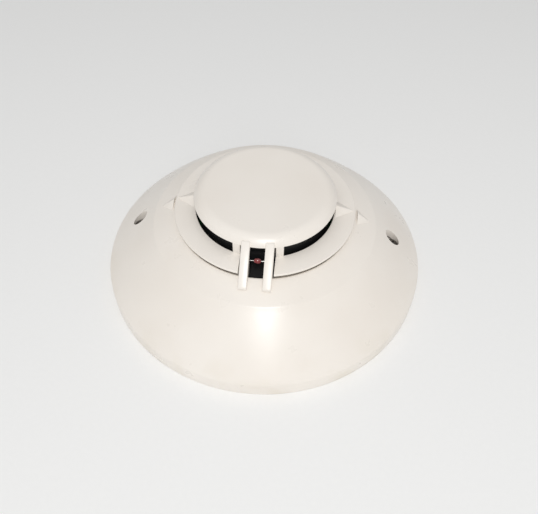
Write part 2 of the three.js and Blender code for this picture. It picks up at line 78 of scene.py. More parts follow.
@dataclass(frozen=True)
class Layout:
    """Sizes in millimetres that more than one assembly works from, taken from the frame where it has them."""

    well_radius: float = 41.0
    ridge_height: float = 30.5
    head_radius: float = 38.6
    housing_inner: float = 36.6
    cap_wall: float = 2.2
    crown: float = 0.3
    fixing_offset: float = 62.0
    terminal_ring: float = 36.0
    rim_top: float = reach("head_housing", HIGH, "z")
    parts_floor: float = reach("inner_shroud", LOW, "z")
    shroud_radius: float = reach("inner_shroud", HIGH, "x")
    shroud_top: float = reach("inner_shroud", HIGH, "z")
    cover_top: float = reach("detector_cover", HIGH, "z")

    @property
    def plateau_top(self) -> float:
        """The height of the well's mouth."""
        return self.rim_top + 7.5

    @property
    def cap_low(self) -> float:
        """The height of the cap's lower edge."""
        return self.shroud_top + 0.8

    @property
    def cap_top(self) -> float:
        """The height of the cap's flat top, below its crown."""
        return self.cover_top - self.crown

    @property
    def cap_radius(self) -> float:
        """The cap's radius."""
        return self.shroud_radius + 0.5 + self.cap_wall


SIZES = Layout()


# ---- nodes and colours ----


def linear(code: str) -> tuple[float, float, float, float]:
    """Turns an sRGB hex colour into the linear RGBA that shaders take.

    Args:
        code: six hex digits after a hash, such as "#EFEBE3".

    Returns:
        Red, green, blue and an alpha of one.
    """
    values = [int(code[i : i + 2], 16) / 255 for i in (1, 3, 5)]
    red, green, blue = (v / 12.92 if v <= 0.04045 else ((v + 0.055) / 1.055) ** 2.4 for v in values)
    return red, green, blue, 1.0


def add_node(
    tree: Tree, kind: str, wired: dict[Any, Any] | None = None, **settings: Any
) -> Node:
    """Adds a node to a tree, with its settings and what goes into its sockets.

    Args:
        tree: the shader or geometry tree.
        kind: the node's type, such as "ShaderNodeBump".
        wired: input name or index to a value, or to the output socket that is linked to it.
        settings: the node's own properties.

    Returns:
        The new node.
    """
    node = tree.nodes.new(kind)
    for name, value in settings.items():
        setattr(node, name, value)
    for key, value in (wired or {}).items():
        socket = node.inputs[key]
        if isinstance(value, Socket):
            tree.links.new(value, socket)
        else:
            socket.default_value = value
    return node


def calc(tree: Tree, operation: str, *values: Any) -> Socket:
    """Adds a math node that works on values or sockets, and returns its result."""
    return add_node(tree, "ShaderNodeMath", dict(enumerate(values)), operation=operation).outputs[0]


# ---- geometry recipes ----


class Recipe(Enum):
    """The geometry trees, which make what is turned, repeated or drawn along a path."""

    REVOLVE = "revolved_shell"
    RING = "ring_of_copies"
    WIRE = "round_wire"
    THREAD = "rolled_thread"


class Recipes:
    """Builds each geometry tree once and runs it on meshes."""

    def __init__(self) -> None:
        """Starts with no tree built."""
        self.trees: dict[Recipe, Tree] = {}

    def _start(self, recipe: Recipe, **kinds: str) -> tuple[Tree, dict[str, Socket]]:
        """Makes a tree with a geometry input, named inputs, a material input and a geometry output.

        Args:
            recipe: which tree it is.
            kinds: input name, with spaces written as underscores, to its kind, such as "Float".

        Returns:
            The tree, and its group inputs by name.
        """
        tree = bpy.data.node_groups.new(recipe.value, "GeometryNodeTree")
        for name, kind in {"Geometry": "Geometry", **kinds, "Material": "Material"}.items():
            tree.interface.new_socket(name.replace("_", " "), in_out="INPUT", socket_type=f"NodeSocket{kind}")
        tree.interface.new_socket("Geometry", in_out="OUTPUT", socket_type="NodeSocketGeometry")
        given = add_node(tree, "NodeGroupInput")
        return tree, {socket.name: socket for socket in given.outputs if socket.name}

    @staticmethod
    def _end(tree: Tree, made: Node, given: dict[str, Socket]) -> Tree:
        """Closes a tree with Realize Instances and Set Material, and returns it."""
        whole = add_node(tree, "GeometryNodeRealizeInstances", {"Geometry": made.outputs[0]})
        wired = {"Geometry": whole.outputs[0], "Material": given["Material"]}
        dressed = add_node(tree, "GeometryNodeSetMaterial", wired)
        add_node(tree, "NodeGroupOutput", {0: dressed.outputs[0]})
        return tree

    def _revolve(self) -> Tree:
        """A shell turned round Z from a closed outline in the XZ plane.

        Returns:
            The tree. A grid's columns become meridians and its rows the outline's points.
        """
        tree, given = self._start(Recipe.REVOLVE, Segments="Int", Points="Int")
        points = given["Points"]
        size = {"Size X": 1.0, "Size Y": 1.0}
        wide, high = (calc(tree, "ADD", count, 1.0) for count in (given["Segments"], points))
        grid = add_node(tree, "GeometryNodeMeshGrid", {**size, "Vertices X": wide, "Vertices Y": high})
        spot = add_node(tree, "GeometryNodeInputPosition").outputs[0]
        place = add_node(tree, "ShaderNodeSeparateXYZ", {0: spot})
        angle = calc(tree, "MULTIPLY", place.outputs["X"], math.tau)
        row = calc(tree, "MULTIPLY", calc(tree, "ADD", place.outputs["Y"], 0.5), points)
        row = calc(tree, "MODULO", calc(tree, "ROUND", row), points)
        sample = add_node(tree, "GeometryNodeSampleIndex", data_type="FLOAT_VECTOR", domain="POINT")
        for name, socket in {"Geometry": given["Geometry"], "Value": spot, "Index": row}.items():
            tree.links.new(socket, sample.inputs[name])
        point = add_node(tree, "ShaderNodeSeparateXYZ", {0: sample.outputs[0]})
        radius = point.outputs["X"]
        x, y = (calc(tree, "MULTIPLY", radius, calc(tree, turn, angle)) for turn in ("COSINE", "SINE"))
        turned = add_node(tree, "ShaderNodeCombineXYZ", {"X": x, "Y": y, "Z": point.outputs["Z"]})
        wired = {"Geometry": grid.outputs[0], "Position": turned.outputs[0]}
        placed = add_node(tree, "GeometryNodeSetPosition", wired)
        wired = {"Geometry": placed.outputs[0], "Distance": 1e-6}
        welded = add_node(tree, "GeometryNodeMergeByDistance", wired)
        return self._end(tree, welded, given)

    def _ring(self) -> Tree:
        """Copies of a piece turned round the Z axis, each in its own angle step."""
        tree, given = self._start(Recipe.RING, Count="Int", Start="Float", Step="Float")
        line = add_node(tree, "GeometryNodeMeshLine", {"Count": given["Count"], "Offset": (0.0, 0.0, 0.0)})
        index = add_node(tree, "GeometryNodeInputIndex").outputs[0]
        turn = calc(tree, "ADD", calc(tree, "MULTIPLY", index, given["Step"]), given["Start"])
        angles = add_node(tree, "ShaderNodeCombineXYZ", {"Z": turn})
        wired = {"Points": line.outputs[0], "Instance": given["Geometry"], "Rotation": angles.outputs[0]}
        copies = add_node(tree, "GeometryNodeInstanceOnPoints", wired)
        return self._end(tree, copies, given)

    @staticmethod
    def _drawn(tree: Tree, path: Node, sides: Any, radius: Any) -> Node:
        """Draws a round section along a path, with closed ends."""
        section = add_node(tree, "GeometryNodeCurvePrimitiveCircle", {"Resolution": sides, "Radius": radius})
        wired = {"Curve": path.outputs[0], "Profile Curve": section.outputs[0], "Fill Caps": True}
        return add_node(tree, "GeometryNodeCurveToMesh", wired)

    def _wire(self) -> Tree:
        """A round wire along a chain of edges, with its corners bent to a radius."""
        tree, given = self._start(Recipe.WIRE, Wire_radius="Float", Bend_radius="Float", Sides="Int")
        path = add_node(tree, "GeometryNodeMeshToCurve", {"Mesh": given["Geometry"]})
        wired = {"Curve": path.outputs[0], "Radius": given["Bend radius"]}
        bent = add_node(tree, "GeometryNodeFilletCurve", wired)
        bent.mode = "POLY"
        bent.inputs["Count"].default_value = 8
        drawn = self._drawn(tree, bent, given["Sides"], given["Wire radius"])
        return self._end(tree, drawn, given)

    def _thread(self) -> Tree:
        """A screw's rolled thread: a ridge wound up a shank, joined to the screw that is given."""
        sizes = dict.fromkeys(("Shank_radius", "Length", "Turns", "Ridge"), "Float")
        tree, given = self._start(Recipe.THREAD, **sizes, Bottom="Vector")
        radius = given["Shank radius"]
        wired = {"Resolution": 20, "Rotations": given["Turns"], "Height": given["Length"]}
        wired.update({"Start Radius": radius, "End Radius": radius})
        spiral = add_node(tree, "GeometryNodeCurveSpiral", wired)
        wound = self._drawn(tree, spiral, 4, given["Ridge"])
        wired = {"Geometry": wound.outputs[0], "Translation": given["Bottom"]}
        placed = add_node(tree, "GeometryNodeTransform", wired)
        whole = add_node(tree, "GeometryNodeJoinGeometry")
        tree.links.new(placed.outputs[0], whole.inputs[0])
        tree.links.new(given["Geometry"], whole.inputs[0])
        return self._end(tree, whole, given)

    def run(self, recipe: Recipe, piece: Piece, **values: Any) -> Piece:
        """Runs a tree on a piece and leaves the result as its plain mesh.

        Args:
            recipe: the tree to run.
            piece: the object whose mesh goes in, and which takes the result.
            values: the tree's named inputs, with spaces written as underscores.

        Returns:
            The same object, with no modifier left on it.
        """
        if recipe not in self.trees:
            makers = {
                Recipe.REVOLVE: self._revolve,
                Recipe.RING: self._ring,
                Recipe.WIRE: self._wire,
                Recipe.THREAD: self._thread,
            }
            self.trees[recipe] = makers[recipe]()
        tree = self.trees[recipe]
        modifier = piece.modifiers.new(recipe.value, "NODES")
        modifier.node_group = tree
        ids = {s.name: s.identifier for s in tree.interface.items_tree if s.in_out == "INPUT"}
        for name, value in values.items():
            modifier[ids[name.replace("_", " ")]] = value
        return settle(piece)

    def ring(self, piece: Piece, count: int, start: float, step: float) -> Piece:
        """Repeats a piece round Z, from a start angle by a step, both in degrees."""
        return self.run(Recipe.RING, piece, Count=count, Start=math.radians(start), Step=math.radians(step))


RECIPES = Recipes()


# ---- mesh work ----


def settle(piece: Piece) -> Piece:
    """Replaces a piece's mesh with its evaluated one and clears its modifiers.

    Args:
        piece: an object with live modifiers.

    Returns:
        The same object.
    """
    bpy.context.view_layer.update()
    evaluated = piece.evaluated_get(bpy.context.evaluated_depsgraph_get())
    mesh = bpy.data.meshes.new_from_object(evaluated)
    piece.modifiers.clear()
    old = piece.data
    piece.data = mesh
    bpy.data.meshes.remove(old)
    mesh.name = piece.name
    return piece


def linked(name: str, data: Any) -> Piece:
    """Makes an object of a mesh, a lamp or a camera, and puts it in the scene."""
    made = bpy.data.objects.new(name, data)
    bpy.context.scene.collection.objects.link(made)
    return made


def piece_from(name: str, vertices: Sequence[Any], edges: Sequence[Any], faces: Sequence[Any]) -> Piece:
    """Makes an object in the scene from millimetre coordinates."""
    mesh = bpy.data.meshes.new(name)
    mesh.from_pydata([Vector(v) * MM for v in vertices], edges, faces)
    return linked(name, mesh)


def arc(
    centre: Pair, radius: float, start: float, end: float, steps: int = 8
) -> list[Pair]:
    """Points of an arc.

    Args:
        centre: the arc's centre.
        radius: its radius.
        start: the first point's direction in degrees.
        end: the last point's direction in degrees.
        steps: how many chords it has.

    Returns:
        The points, both ends among them.
    """
    angles = (math.radians(start + (end - start) * i / steps) for i in range(steps + 1))
    return [(centre[0] + radius * math.cos(a), centre[1] + radius * math.sin(a)) for a in angles]


def revolved(name: str, outline: Outline, segments: int = 192, material: Any = None) -> Piece:
    """Turns a closed outline of radius and height, in millimetres, into a shell round Z."""
    count = len(outline)
    points = [(r, 0.0, z) for r, z in outline]
    piece = piece_from(name, points, [(i, (i + 1) % count) for i in range(count)], [])
    RECIPES.run(Recipe.REVOLVE, piece, Segments=segments, Points=count, Material=material)
    return outward(piece)


def outward(piece: Piece) -> Piece:
    """Welds doubles and points every face of a closed piece outwards."""
    work = bmesh.new()
    work.from_mesh(piece.data)
    bmesh.ops.remove_doubles(work, verts=work.verts, dist=1e-7)
    bmesh.ops.dissolve_degenerate(work, edges=work.edges, dist=1e-7)
    bmesh.ops.recalc_face_normals(work, faces=work.faces)
    work.to_mesh(piece.data)
    work.free()
    return piece


def prism(
    name: str, outline: Outline, low: float, high: float, axis: str = "Z", edge: float = 0.0
) -> Piece:
    """Extrudes an outline along an axis, with its edges rounded.

    Args:
        name: the piece's name.
        outline: points in the plane across the axis: XY for Z, and (-Y, Z) for X.
        low: where it starts along the axis.
        high: where it ends.
        axis: "Z" or "X".
        edge: the radius of its rounded edges.

    Returns:
        The closed prism.
    """
    count = len(outline)
    if axis == "Z":
        points = [(a, b, level) for level in (low, high) for a, b in outline]
    else:
        points = [(level, -a, b) for level in (low, high) for a, b in outline]
    sides = [(i, (i + 1) % count, count + (i + 1) % count, count + i) for i in range(count)]
    faces = [tuple(range(count))[::-1], tuple(range(count, 2 * count)), *sides]
    piece = outward(piece_from(name, points, [], faces))
    return rounded(piece, edge) if edge else piece


def rounded(piece: Piece, radius: float, steps: int = 3, angle: float = 25.0) -> Piece:
    """Rounds a piece's sharp edges.

    Args:
        piece: the object to round.
        radius: the rounding's radius in millimetres.
        steps: how many facets each rounding has.
        angle: edges that turn by more degrees than this are rounded.

    Returns:
        The same object.
    """
    work = bmesh.new()
    work.from_mesh(piece.data)
    sharp = [e for e in work.edges if e.is_manifold and e.calc_face_angle(0.0) > math.radians(angle)]
    how = {"segments": steps, "profile": 0.5, "affect": "EDGES", "clamp_overlap": True}
    bmesh.ops.bevel(work, geom=sharp, offset=radius * MM, **how)
    work.to_mesh(piece.data)
    work.free()
    return piece


def sector(
    name: str, radii: Pair, turn: Pair, levels: Pair, edge: float = 0.0
) -> Piece:
    """A part of a ring between two radii, two angles in degrees and two heights."""
    (inner, outer), (start, end) = radii, turn
    steps = max(3, round(abs(end - start) / 1.5))
    outline = arc((0, 0), outer, start, end, steps) + arc((0, 0), inner, end, start, steps)
    return prism(name, outline, *levels, edge=edge)


def disc(
    name: str, radius: float, low: float, high: float, centre: Pair, sides: int = 48
) -> Piece:
    """An upright round rod at a centre."""
    return prism(name, arc(centre, radius, 0, 360, sides)[:-1], low, high)


def block(name: str, low: Sequence[float], high: Sequence[float], edge: float = 0.0) -> Piece:
    """A box between two corners, with rounded edges."""
    outline = [(low[0], low[1]), (high[0], low[1]), (high[0], high[1]), (low[0], high[1])]
    return prism(name, outline, low[2], high[2], edge=edge)


def discard(pieces: Iterable[Piece]) -> None:
    """Deletes used-up pieces and their meshes."""
    for piece in pieces:
        mesh = piece.data
        bpy.data.objects.remove(piece)
        bpy.data.meshes.remove(mesh)


class Join(Enum):
    """How two solids are combined."""

    ADD = "UNION"
    CUT = "DIFFERENCE"
    KEEP = "INTERSECT"


def combine(target: Piece, how: Join, tools: Iterable[Piece]) -> Piece:
    """Adds, cuts or keeps solids, and uses them up.

    Args:
        target: the solid that takes the result.
        how: what is done with the tools.
        tools: the other solids, which are deleted afterwards.

    Returns:
        The target.
    """
    tools = list(tools)
    for tool in tools:
        modifier = target.modifiers.new("combine", "BOOLEAN")
        modifier.operation = how.value
        modifier.solver = "EXACT"
        modifier.object = tool
    settle(target)
    discard(tools)
    return outward(target)


def spun(piece: Piece, degrees: float, copy: bool = False) -> Piece:
    """Turns a piece's mesh round Z, or a copy of it."""
    if copy:
        piece = linked(piece.name, piece.data.copy())
    piece.data.transform(Matrix.Rotation(math.radians(degrees), 4, "Z"))
    return piece


def moved(piece: Piece, offset: Sequence[float]) -> Piece:
    """Moves a piece's mesh by millimetres."""
    piece.data.transform(Matrix.Translation(Vector(offset) * MM))
    return piece


def merged(name: str, pieces: Sequence[Piece]) -> Piece:
    """Puts several pieces into one mesh, and uses them up."""
    work = bmesh.new()
    for one in pieces:
        work.from_mesh(one.data)
    made = piece_from(name, [], [], [])
    work.to_mesh(made.data)
    work.free()
    discard(pieces)
    return made


# ---- finishes ----


@dataclass(frozen=True)
class Speckle:
    """A noise pattern of a real size."""

    size_mm: float
    detail: float = 2.0
    roughness: float = 0.5

    def build(self, tree: Tree, place: Socket) -> Socket:
        """Adds the noise and returns its value socket."""
        scale = 1.0 / (self.size_mm * MM)
        wired = {"Vector": place, "Scale": scale, "Detail": self.detail, "Roughness": self.roughness}
        return add_node(tree, "ShaderNodeTexNoise", wired).outputs["Fac"]


def blank(name: str) -> tuple[Material, Tree, Socket]:
    """Starts a material.

    Args:
        name: the finish's name.

    Returns:
        The material, its empty tree and the object coordinates that its patterns read.
    """
    material = bpy.data.materials.new(name)
    material.use_nodes = True
    tree = material.node_tree
    tree.nodes.clear()
    return material, tree, add_node(tree, "ShaderNodeTexCoord").outputs["Object"]


def spread(
    tree: Tree,
    value: Socket,
    low: float,
    high: float,
    ends: Pair = (0.3, 0.7),
) -> Socket:
    """Maps a noise's middle range onto two values."""
    wired = {"Value": value, "From Min": ends[0], "From Max": ends[1], "To Min": low, "To Max": high}
    return add_node(tree, "ShaderNodeMapRange", wired).outputs[0]


def blend_colour(tree: Tree, amount: Any, first: Any, second: Any) -> Socket:
    """Mixes two colours, each a hex code or a socket, by a value."""
    first, second = (linear(c) if isinstance(c, str) else c for c in (first, second))
    mix = add_node(tree, "ShaderNodeMix", {0: amount, 6: first, 7: second}, data_type="RGBA")
    return mix.outputs[2]


def bump(
    tree: Tree, height: Socket, strength: float, depth_mm: float
) -> Socket:
    """Adds a bump from a height pattern and returns its normal."""
    wired = {"Height": height, "Strength": strength, "Distance": depth_mm * MM}
    return add_node(tree, "ShaderNodeBump", wired).outputs[0]


def close(tree: Tree, wired: dict[str, Any]) -> None:
    """Ends a material in a principled shader that takes these inputs."""
    shader = add_node(tree, "ShaderNodeBsdfPrincipled", wired)
    add_node(tree, "ShaderNodeOutputMaterial", {"Surface": shader.outputs[0]})


@dataclass(frozen=True)
class MouldedPlastic:
    """Injection-moulded plastic: an even colour with a fine spark-eroded grain and a soft sheen."""

    name: str
    colour: str
    shade: str
    roughness: float
    grain_mm: float
    grain_height_mm: float
    wander: float = 0.35
    ior: float = 1.52
    # How far up from the bottom the painted shade reaches, in millimetres; none when zero.
    rim_shade_to_mm: float = 0.0

    def build(self) -> Material:
        """Builds the material.

        Returns:
            Plastic whose colour drifts slowly over the moulding, with blotchy painted shade darkening it low
            down when a shade height is given.
        """
        material, tree, place = blank(self.name)
        drift = Speckle(38.0, 3.0).build(tree, place)
        colour = blend_colour(tree, spread(tree, drift, 0.0, self.wander), self.colour, self.shade)
        # Painted shade: a blotchy, darker, yellower band (#D8CDB2) low on the piece, standing in for the
        # shade on the rim.
        if self.rim_shade_to_mm:
            height = add_node(tree, "ShaderNodeSeparateXYZ", {0: place}).outputs["Z"]
            low = spread(tree, height, 1.0, 0.0, (0.0, self.rim_shade_to_mm * MM))
            rim_shade_patches = spread(tree, Speckle(17.0, 3.0).build(tree, place), 0.0, 1.0, (0.48, 0.72))
            rim_shade_amount = calc(tree, "MULTIPLY", calc(tree, "MULTIPLY", low, rim_shade_patches), 0.4)
            colour = blend_colour(tree, rim_shade_amount, colour, "#D8CDB2")
        worn = Speckle(14.0, 4.0, 0.6).build(tree, place)
        rough = spread(tree, worn, self.roughness - 0.04, self.roughness + 0.07)
        grain = Speckle(self.grain_mm).build(tree, place)
        normal = bump(tree, grain, 0.6, self.grain_height_mm)
        close(tree, {"Base Color": colour, "Roughness": rough, "IOR": self.ior, "Normal": normal})
        return material


@dataclass(frozen=True)
class BareMetal:
    """Plated or rolled metal: bright, with the rolling or tumbling marks of its making."""

    name: str
    colour: str
    stain: str
    roughness: float
    mark_mm: float
    stretch: float = 1.0

    def build(self) -> Material:
        """Builds the material.

        Returns:
            Metal with fine marks along X where stretch is above one.
        """
        material, tree, place = blank(self.name)
        wired = {"Vector": place, "Scale": (1.0 / self.stretch, 1.0, 1.0)}
        along = add_node(tree, "ShaderNodeMapping", wired)
        marks = Speckle(self.mark_mm, 3.0, 0.6).build(tree, along.outputs[0])
        tarnish = Speckle(4.0, 4.0, 0.6).build(tree, place)
        colour = blend_colour(tree, spread(tree, tarnish, 0.0, 0.6), self.colour, self.stain)
        rough = spread(tree, marks, self.roughness - 0.06, self.roughness + 0.1)
        normal = bump(tree, marks, 0.5, 0.01)
        close(tree, {"Base Color": colour, "Metallic": 1.0, "Roughness": rough, "Normal": normal})
        return material


@dataclass(frozen=True)
class ClearSolid:
    """Glass or clear acrylic: light passes through, with faint flow lines."""

    name: str
    colour: str
    roughness: float
    ior: float
    transmission: float

    def build(self) -> Material:
        """Builds the material with a slight drift of tint."""
        material, tree, place = blank(self.name)
        drift = Speckle(1.5).build(tree, place)
        colour = blend_colour(tree, spread(tree, drift, 0.0, 0.25), self.colour, "#FFFFFF")
        wired = {"Base Color": colour, "Roughness": self.roughness, "IOR": self.ior}
        close(tree, {**wired, "Transmission Weight": self.transmission})
        return material


@dataclass(frozen=True)
class MaskedLaminate:
    """Glass-epoxy board under green solder mask, with copper tracks that show through as lighter lines."""

    name: str = "glass_epoxy_green_solder_mask"
    track_mm: float = 1.6

    def build(self) -> Material:
        """Builds the material.

        Returns:
            Green laminate with tracks at the spacing of a hand-soldered board.
        """
        material, tree, place = blank(self.name)
        wired = {"Vector": place, "Scale": 1.0 / (self.track_mm * 3 * MM)}
        cells = add_node(tree, "ShaderNodeTexVoronoi", wired, distance="MANHATTAN", feature="F1")
        waves = calc(tree, "SINE", calc(tree, "MULTIPLY", cells.outputs["Distance"], 12.0))
        tracks = spread(tree, waves, 0.0, 1.0, (0.25, 0.45))
        colour = blend_colour(tree, tracks, "#0E4A26", "#1E6E3A")
        normal = bump(tree, tracks, 0.4, 0.035)
        close(tree, {"Base Color": colour, "Roughness": 0.28, "IOR": 1.55, "Normal": normal})
        return material


@dataclass(frozen=True)
class PaperSweep:
    """Matt white paper that the detector stands on."""

    name: str = "matt_white_paper"

    def build(self) -> Material:
        """Builds the material."""
        material, tree, place = blank(self.name)
        fibre = Speckle(2.0, 4.0).build(tree, place)
        colour = blend_colour(tree, spread(tree, fibre, 0.0, 0.3), "#F6F6F5", "#F2F2F1")
        close(tree, {"Base Color": colour, "Roughness": 0.9})
        return material


class Finish(Enum):
    """Every finish on the detector, by what it is."""

    # A fine matt-satin mould grain; warm white that has yellowed a little, and blotchy painted shade
    # darkening the low rim band.
    IVORY = MouldedPlastic(
        "ivory_polycarbonate_moulded", "#F4EEE6", "#ECE4DA", 0.3, 0.9, 0.012, 0.6, 1.55, 16.0
    )
    # Spark-eroded black: soft highlights and no clear reflection.
    BLACK = MouldedPlastic("black_polycarbonate_spark_eroded", "#040405", "#080809", 0.62, 0.8, 0.02)
    # Nylon is waxy: a soft, slightly translucent-looking white.
    DIAL = MouldedPlastic("white_nylon_moulded", "#E9E6DC", "#DDD8CB", 0.42, 0.8, 0.01)
    # Vinyl sleeve: smooth and glossy.
    SLEEVE = MouldedPlastic("blue_black_vinyl_sleeve_shrunk", "#11182A", "#0C1120", 0.25, 1.2, 0.01)
    # Moulded epoxy chip body: matt, with a sandy surface.
    CHIP = MouldedPlastic("black_epoxy_transfer_moulded", "#1A1A1B", "#222223", 0.6, 0.3, 0.015)
    # Bright zinc: bluish, with tumbling marks.
    ZINC = BareMetal("steel_bright_zinc_plated", "#C9CDD2", "#AEB3B8", 0.26, 0.35)
    # The same plating, rougher, with its colour painted darker as shade deep in its hole.
    SHADED_ZINC = BareMetal("steel_zinc_plated_hole_shade", "#77736E", "#4B4742", 0.42, 0.7)
    # Rolled brass strip: fine lines along the strip.
    BRASS = BareMetal("brass_strip_rolled", "#D9B66A", "#C29A4E", 0.24, 0.3, 6.0)
    # Electroplated tin: soft white metal.
    TIN = BareMetal("copper_alloy_tin_plated", "#D6D5D0", "#C2C1BB", 0.3, 0.4, 3.0)
    # Fused glass over the sensing chip: red-brown, glossy.
    BEAD = ClearSolid("red_brown_glass_fused", "#A03A3C", 0.05, 1.5, 0.3)
    ACRYLIC = ClearSolid("clear_acrylic_moulded", "#F2F7F8", 0.08, 1.49, 0.9)
    TUBE = ClearSolid("pale_green_glass_drawn", "#DCEBE2", 0.04, 1.5, 0.9)
    LENS = ClearSolid("diffused_epoxy_cast", "#E9DCCB", 0.25, 1.54, 0.4)
    LAMINATE = MaskedLaminate()
    PAPER = PaperSweep()


class FinishShelf:
    """Builds each finish once."""

    def __init__(self) -> None:
        """Starts empty."""
        self.made: dict[Finish, Material] = {}

    def get(self, finish: Finish) -> Material:
        """Returns the material of a finish."""
        if finish not in self.made:
            self.made[finish] = finish.value.build()
        return self.made[finish]


SHELF = FinishShelf()


def dress(piece: Piece, finish: Finish, smooth: float = 32.0) -> Piece:
    """Gives a piece one finish and shades it smooth up to an angle.

    Args:
        piece: the object to dress.
        finish: its finish.
        smooth: edges that turn by more degrees than this stay sharp.

    Returns:
        The same object.
    """
    piece.data.materials.clear()
    piece.data.materials.append(SHELF.get(finish))
    for polygon in piece.data.polygons:
        polygon.material_index = 0
        polygon.use_smooth = True
    piece.data.set_sharp_from_angle(angle=math.radians(smooth))
    return piece


def place(piece: Piece, body: str, nodes: Sequence[str], slot: str) -> None:
    """Hands a finished piece to the frame: the body it rides on and the nodes it stands for. The slot is not
    used.
    """
    piece.data.name = piece.name
    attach(piece, body)
    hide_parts(*nodes)
    log.info("%s: %d faces, stands for %s", piece.name, len(piece.data.polygons), ", ".join(nodes))


# ---- sub-assemblies ----


@dataclass
class FlangedBase:
    """The conical flange with the well that the head turns into."""

    rim_radius: float = 77.5
    rim_height: float = 6.8
    rim_round: float = 3.0
    wall: float = 2.2
    ridge_radius: float = 53.5
    ridge_height: float = SIZES.ridge_height
    plateau_top: float = SIZES.plateau_top
    well_radius: float = SIZES.well_radius
    floor: float = 3.5
    cable_radius: float = 18.0
    bow: float = 0.45
    hole_offset: float = SIZES.fixing_offset
    hole_radius: float = 3.7
    seat_height: float = 16.5
    shank_hole: float = 2.2
    boss_radius: float = 6.0
    ribs: int = 8

    def cone(self) -> list[Pair]:
        """The cone's outer line between the rim's round and the ridge's, bowed out a little."""
        rim = arc((self.rim_radius - self.rim_round, self.rim_height), self.rim_round, 0, 44, 8)
        ridge = arc((self.ridge_radius - 2.2, self.ridge_height - 2.2), 3.1, 44, 65, 8)
        start, end = Vector(rim[-1]), Vector(ridge[0])
        across = Vector((end.y - start.y, start.x - end.x)).normalized()
        steps = 14
        line = []
        for i in range(1, steps):
            t = i / steps
            point = start.lerp(end, t) + across * (self.bow * 4 * t * (1 - t))
            line.append((point.x, point.y))
        return rim + line + ridge

    def plateau_at(self, radius: float) -> float:
        """The height of the sloping plateau at a radius."""
        end, low = self.cone()[-1]
        start = self.well_radius + 1.2
        return self.plateau_top - (radius - start) * (self.plateau_top - low) / (end - start)

    def outline(self) -> list[Pair]:
        """The closed section of the flange, the well's wall and its floor."""
        well, top = self.well_radius, self.plateau_top
        inner_rim = self.rim_radius - self.wall
        return [
            (self.rim_radius - 0.35, 0.0),
            (self.rim_radius - 0.1, 0.12),
            (self.rim_radius, 0.4),
            (self.rim_radius, 3.6),
            *self.cone(),
            (well + 6.0, self.plateau_at(well + 6.0)),
            *arc((well + 0.9, top - 0.9), 0.9, 68, 180, 6),
            (well, 18.0),
            (well, self.floor),
            (self.cable_radius + 0.3, self.floor),
            (self.cable_radius, self.floor - 0.3),
            (self.cable_radius, 0.3),
            (self.cable_radius + 0.3, 0.0),
            (well + self.wall, 0.0),
            (well + self.wall, top - self.wall - 1.0),
            (well + self.wall + 0.8, top - self.wall - 0.6),
            (self.ridge_radius - 2.0, self.ridge_height - self.wall),
            (inner_rim - 1.0, 7.6),
            (inner_rim, 5.6),
            (inner_rim, 0.3),
            (inner_rim + 0.3, 0.0),
        ]

    def hollow(self) -> Piece:
        """The space under the flange, reaching into its wall, that trims the ribs and bosses."""
        well = self.well_radius + self.wall / 2
        return revolved(
            "hollow",
            [
                (well, -1.0),
                (well, self.plateau_top - self.wall * 0.6),
                (self.ridge_radius - 2.0, self.ridge_height - self.wall * 0.6),
                (self.rim_radius - self.wall - 0.4, 7.9),
                (self.rim_radius - self.wall + 0.8, 5.6),
                (self.rim_radius - self.wall + 0.8, -1.0),
            ],
            96,
        )

    @staticmethod
    def pointer(base: Pair, tip: Pair, width: float) -> Piece:
        """A raised three-cornered pointer along +X, with its edges just broken.

        Args:
            base: radius and surface height at its broad inner end.
            tip: radius and surface height at its point.
            width: how broad its inner end is.

        Returns:
            The closed pointer, sunk a little into the surface.
        """
        (inner, high), (outer, low) = base, tip
        sunk, crest, nose = 1.0, 2.4, 0.3
        points = [
            (inner, -width / 2, high - sunk),
            (inner, width / 2, high - sunk),
            (outer, 0.0, low - sunk),
            (inner, -width / 2, high),
            (inner, width / 2, high),
            (outer, 0.0, low + nose),
            (inner, 0.0, high + crest),
        ]
        faces = [(0, 1, 2), (0, 3, 6, 4, 1), (0, 2, 5, 3), (1, 4, 5, 2), (3, 5, 6), (5, 4, 6)]
        return rounded(outward(piece_from("pointer", points, [], faces)), 0.12, 2)

    def build(self) -> None:
        """Builds the flange with its ribs, bosses, hooks, holes and pointers."""
        shell = revolved("flanged_base", self.outline(), 224)
        rib = block("rib", (self.well_radius, -0.8, 1.0), (self.rim_radius, 0.8, 40.0))
        RECIPES.ring(rib, self.ribs, 180 / self.ribs, 360 / self.ribs)
        web = block("web", (self.well_radius, -0.8, 1.0), (self.rim_radius, 0.8, self.seat_height))
        boss = disc("boss", self.boss_radius, 0.0, self.seat_height, (self.hole_offset, 0), 40)
        RECIPES.ring(combine(boss, Join.ADD, [web]), 2, 0, 180)
        stiffening = combine(merged("stiffening", [rib, boss]), Join.KEEP, [self.hollow()])
        radii, top = (self.well_radius - 1.7, self.well_radius + 0.5), 17.2
        hook = sector("hook", radii, (-8, 8), (15.1, top), 0.15)
        stop = sector("stop", radii, (-11, -8), (12.4, top))
        hooks = RECIPES.ring(merged("hooks", [combine(hook, Join.ADD, [stop])]), 3, 30, 120)
        ends = [(self.well_radius + out, self.plateau_at(self.well_radius + out)) for out in (2.4, 8.6)]
        marks = [spun(self.pointer(*ends, 9.6), a) for a in (0, 180)]
        combine(shell, Join.ADD, [stiffening, hooks, *marks])
        cuts = []
        for side in (-1, 1):
            centre = (side * self.hole_offset, 0)
            cuts.append(disc("seat", self.hole_radius, self.seat_height, 40.0, centre))
            cuts.append(disc("shank", self.shank_hole, -1.0, 20.0, centre, 32))
        for angle in (60, 120, 240, 300):
            centre = arc((0, 0), SIZES.terminal_ring, angle, angle, 1)[0]
            cuts.append(disc("terminal", 1.9, -1.0, 6.0, centre, 24))
        combine(shell, Join.CUT, cuts)
        place(dress(shell, Finish.IVORY), "base", ["mounting_base"], "ivory_plastic")


